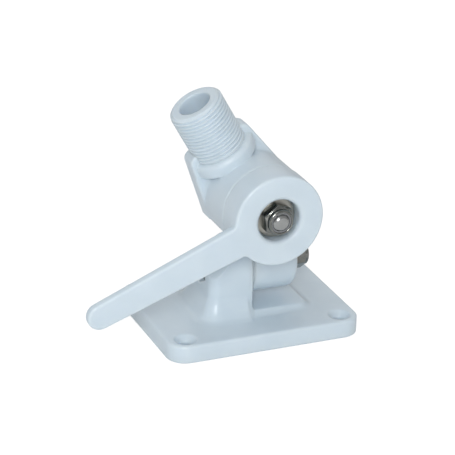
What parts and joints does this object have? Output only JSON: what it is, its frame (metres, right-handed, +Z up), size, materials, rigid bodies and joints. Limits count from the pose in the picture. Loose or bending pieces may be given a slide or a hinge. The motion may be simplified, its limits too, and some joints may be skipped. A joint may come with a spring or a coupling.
{
  "type": "ratcheting swivel mount with threaded stub",
  "caption": "White ratcheting swivel mount: screwed-down base plate, tilting knuckle and swinging head with a hollow threaded stub, clamped by a hand lever.",
  "frame": {"origin": "centre of the base plate's underside", "axes": "+X along the tilt bolt towards its nut, +Y along the swing bolt away from the lever, +Z up from the mounting face"},
  "size_m": [0.1353, 0.0803, 0.1153],
  "materials": {
    "white_nylon": "moulded, satin",
    "stainless_steel": "polished",
    "spring_steel": "drawn wire",
    "ring_nylon": "moulded"
  },
  "bodies": {
    "base": {"base_bracket": "white_nylon", "tilt_bolt": "stainless_steel", "tilt_spring": "spring_steel"},
    "tilt_stack": {"tilt_washer": "stainless_steel"},
    "tilt_nut": {"tilt_nut": "stainless_steel", "tilt_nut_ring": "ring_nylon"},
    "knuckle": {"knuckle": "white_nylon", "swing_bolt": "stainless_steel", "swing_spring": "spring_steel", "stop_washer": "stainless_steel", "lock_nut": "stainless_steel", "lock_nut_ring": "ring_nylon"},
    "swing_stack": {"thrust_washer": "stainless_steel"},
    "head": {"head": "white_nylon"},
    "lever": {"lever": "white_nylon", "lever_insert": "stainless_steel"}
  },
  "joints": [
    {"name": "tilt_clamp", "type": "slide", "parent": "base", "child": "tilt_stack", "axis": [1, 0, 0], "range_m": [-0.00063, 0.00063]},
    {"name": "tilt_nut_turn", "type": "hinge", "parent": "tilt_stack", "child": "tilt_nut", "pos_m": [0.03, 0, 0.029], "axis": [1, 0, 0], "range_deg": [-180, 180]},
    {"name": "tilt", "type": "hinge", "parent": "tilt_stack", "child": "knuckle", "pos_m": [0.012, 0, 0.029], "axis": [1, 0, 0], "range_deg": [-70, 30]},
    {"name": "swing_clamp", "type": "slide", "parent": "knuckle", "child": "swing_stack", "axis": [0, -1, 0], "range_m": [-0.000625, 0]},
    {"name": "swing", "type": "hinge", "parent": "swing_stack", "child": "head", "pos_m": [0, -0.01, 0.0657], "axis": [0, 1, 0], "range_deg": [-60, 120]},
    {"name": "lever_turn", "type": "hinge", "parent": "swing_stack", "child": "lever", "pos_m": [0, -0.035, 0.0657], "axis": [0, -1, 0], "range_deg": [-180, 0]}
  ],
  "couplings": [
    {"joint": "tilt_nut_turn", "follows": "tilt_clamp", "rad_per_m": 5026.5},
    {"joint": "lever_turn", "follows": "swing_clamp", "rad_per_m": 5026.5}
  ]
}
